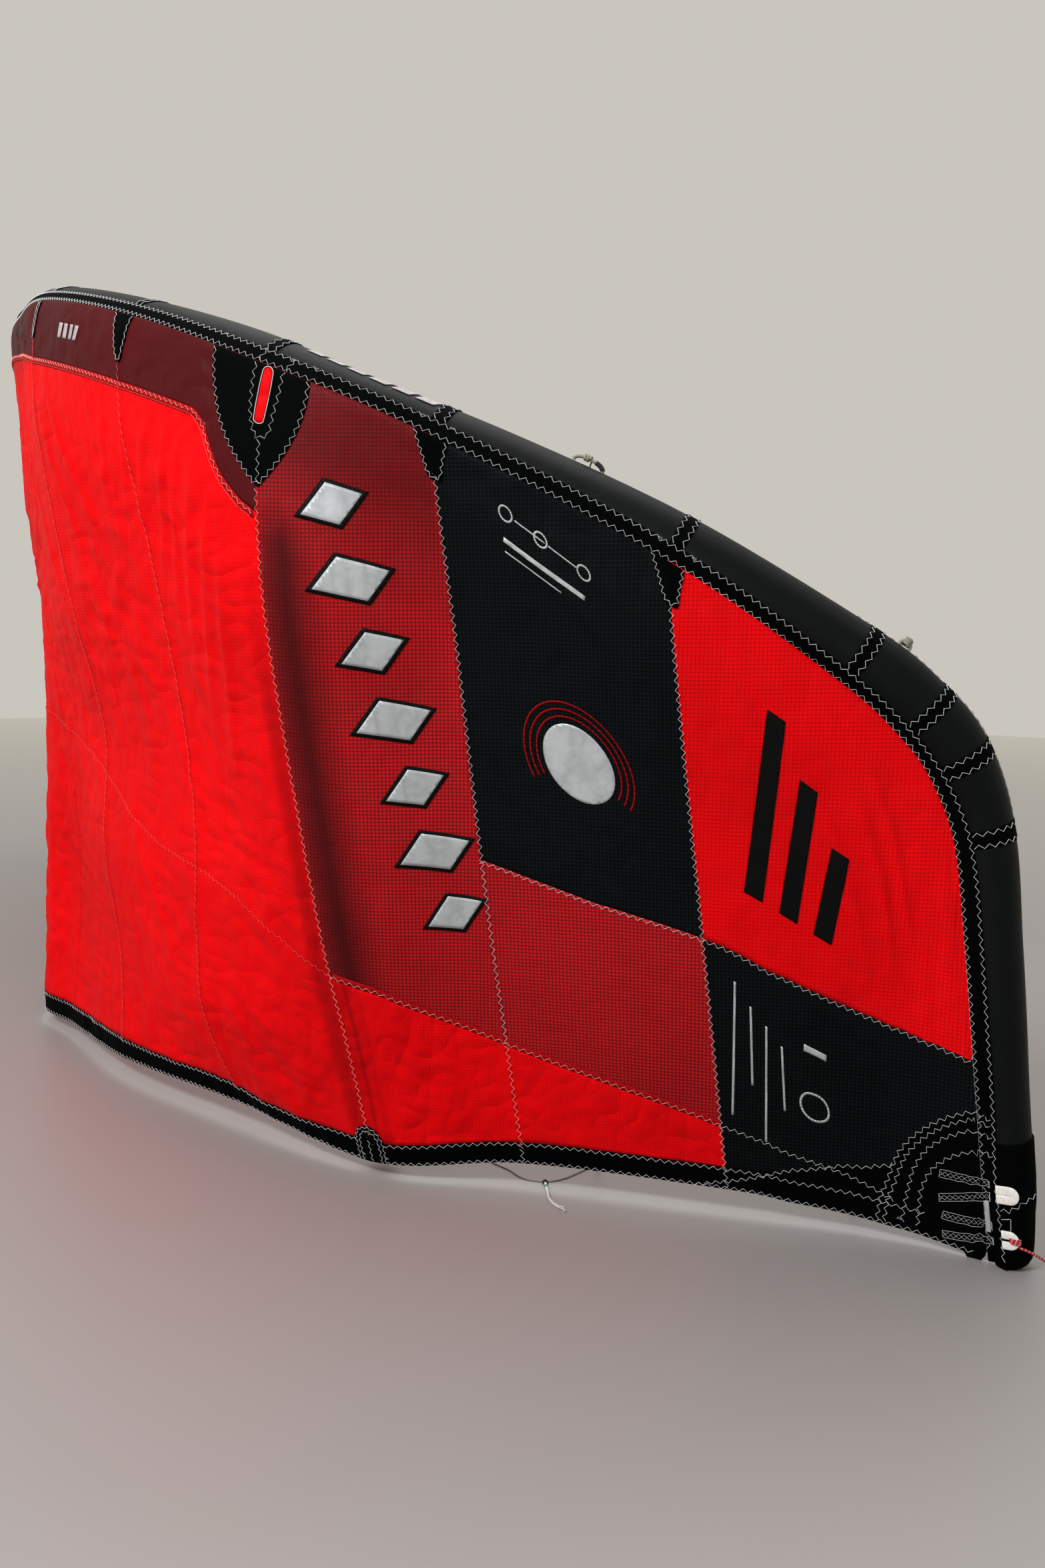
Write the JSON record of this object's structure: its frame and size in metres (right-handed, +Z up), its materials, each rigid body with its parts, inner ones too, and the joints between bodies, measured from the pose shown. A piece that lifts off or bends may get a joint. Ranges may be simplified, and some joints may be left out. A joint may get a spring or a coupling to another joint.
{
  "type": "inflated kitesurfing kite standing on its wing tips",
  "caption": "Inflatable arched sports kite with a round leading edge tube, struts, sewn cloth panels and short bridle lines.",
  "frame": {"origin": "on the ground, at the middle of the footprint of the kite without its lines", "axes": "+X along the span, +Y towards the wing tips, +Z up from the trailing edge to the leading edge"},
  "size_m": [3.8799, 1.6884, 1.6683],
  "materials": {
    "tube_cloth": "matt woven sleeve over an inflated bladder",
    "black_cloth": "matt black sailcloth",
    "red_cloth": "glossy thin ripstop, slightly translucent",
    "maroon_cloth": "dark red scrim with a fine grid, slightly translucent",
    "white_webbing": "flat woven webbing",
    "olive_rope": "braided rope",
    "grey_cord": "braided line",
    "white_cord": "braided line",
    "red_cord": "braided line with a pale tracer"
  },
  "bodies": {
    "root": {"leading_tube_r": "tube_cloth", "leading_tube_l": "tube_cloth", "tip_cap_r": "black_cloth", "tip_cap_l": "black_cloth", "strut_r": "black_cloth", "strut_l": "black_cloth", "strut_middle": "black_cloth", "scrim_band": "maroon_cloth", "panel_middle": "red_cloth", "panel_bay1_r": "red_cloth", "panel_bay1_l": "red_cloth", "panel_bay2_r": "red_cloth", "panel_bay2_l": "red_cloth", "panel_bay3_r": "red_cloth", "panel_bay3_l": "red_cloth", "panel_bay4_top_r": "maroon_cloth", "panel_bay4_top_l": "maroon_cloth", "panel_bay4_low_r": "red_cloth", "panel_bay4_low_l": "red_cloth", "panel_bay5_top_r": "black_cloth", "panel_bay5_top_l": "black_cloth", "panel_bay5_mid_r": "maroon_cloth", "panel_bay5_mid_l": "maroon_cloth", "panel_bay5_low_r": "red_cloth", "panel_bay5_low_l": "red_cloth", "panel_tip_top_r": "red_cloth", "panel_tip_top_l": "red_cloth", "panel_tip_low_r": "black_cloth", "panel_tip_low_l": "black_cloth", "edge_band_r": "black_cloth", "edge_band_l": "black_cloth", "seam_strip_r": "black_cloth", "seam_strip_l": "black_cloth", "tab1_r": "black_cloth", "tab1_l": "black_cloth", "tab2_r": "black_cloth", "tab2_l": "black_cloth", "tab3_r": "black_cloth", "tab3_l": "black_cloth", "tab4_r": "black_cloth", "tab4_l": "black_cloth", "strut_patch_r": "black_cloth", "strut_patch_l": "black_cloth", "strut_end_patch_r": "black_cloth", "strut_end_patch_l": "black_cloth", "webbing_loop_high_r": "white_webbing", "webbing_loop_high_l": "white_webbing", "webbing_loop_low_r": "white_webbing", "webbing_loop_low_l": "white_webbing", "rope_loop1_r": "olive_rope", "rope_loop1_l": "olive_rope", "rope_loop2_r": "olive_rope", "rope_loop2_l": "olive_rope", "bridle_line": "grey_cord", "bridle_pigtail": "white_cord", "bridle_knot": "white_cord", "tip_pigtail": "red_cord", "tip_knot": "red_cord"}
  },
  "joints": []
}
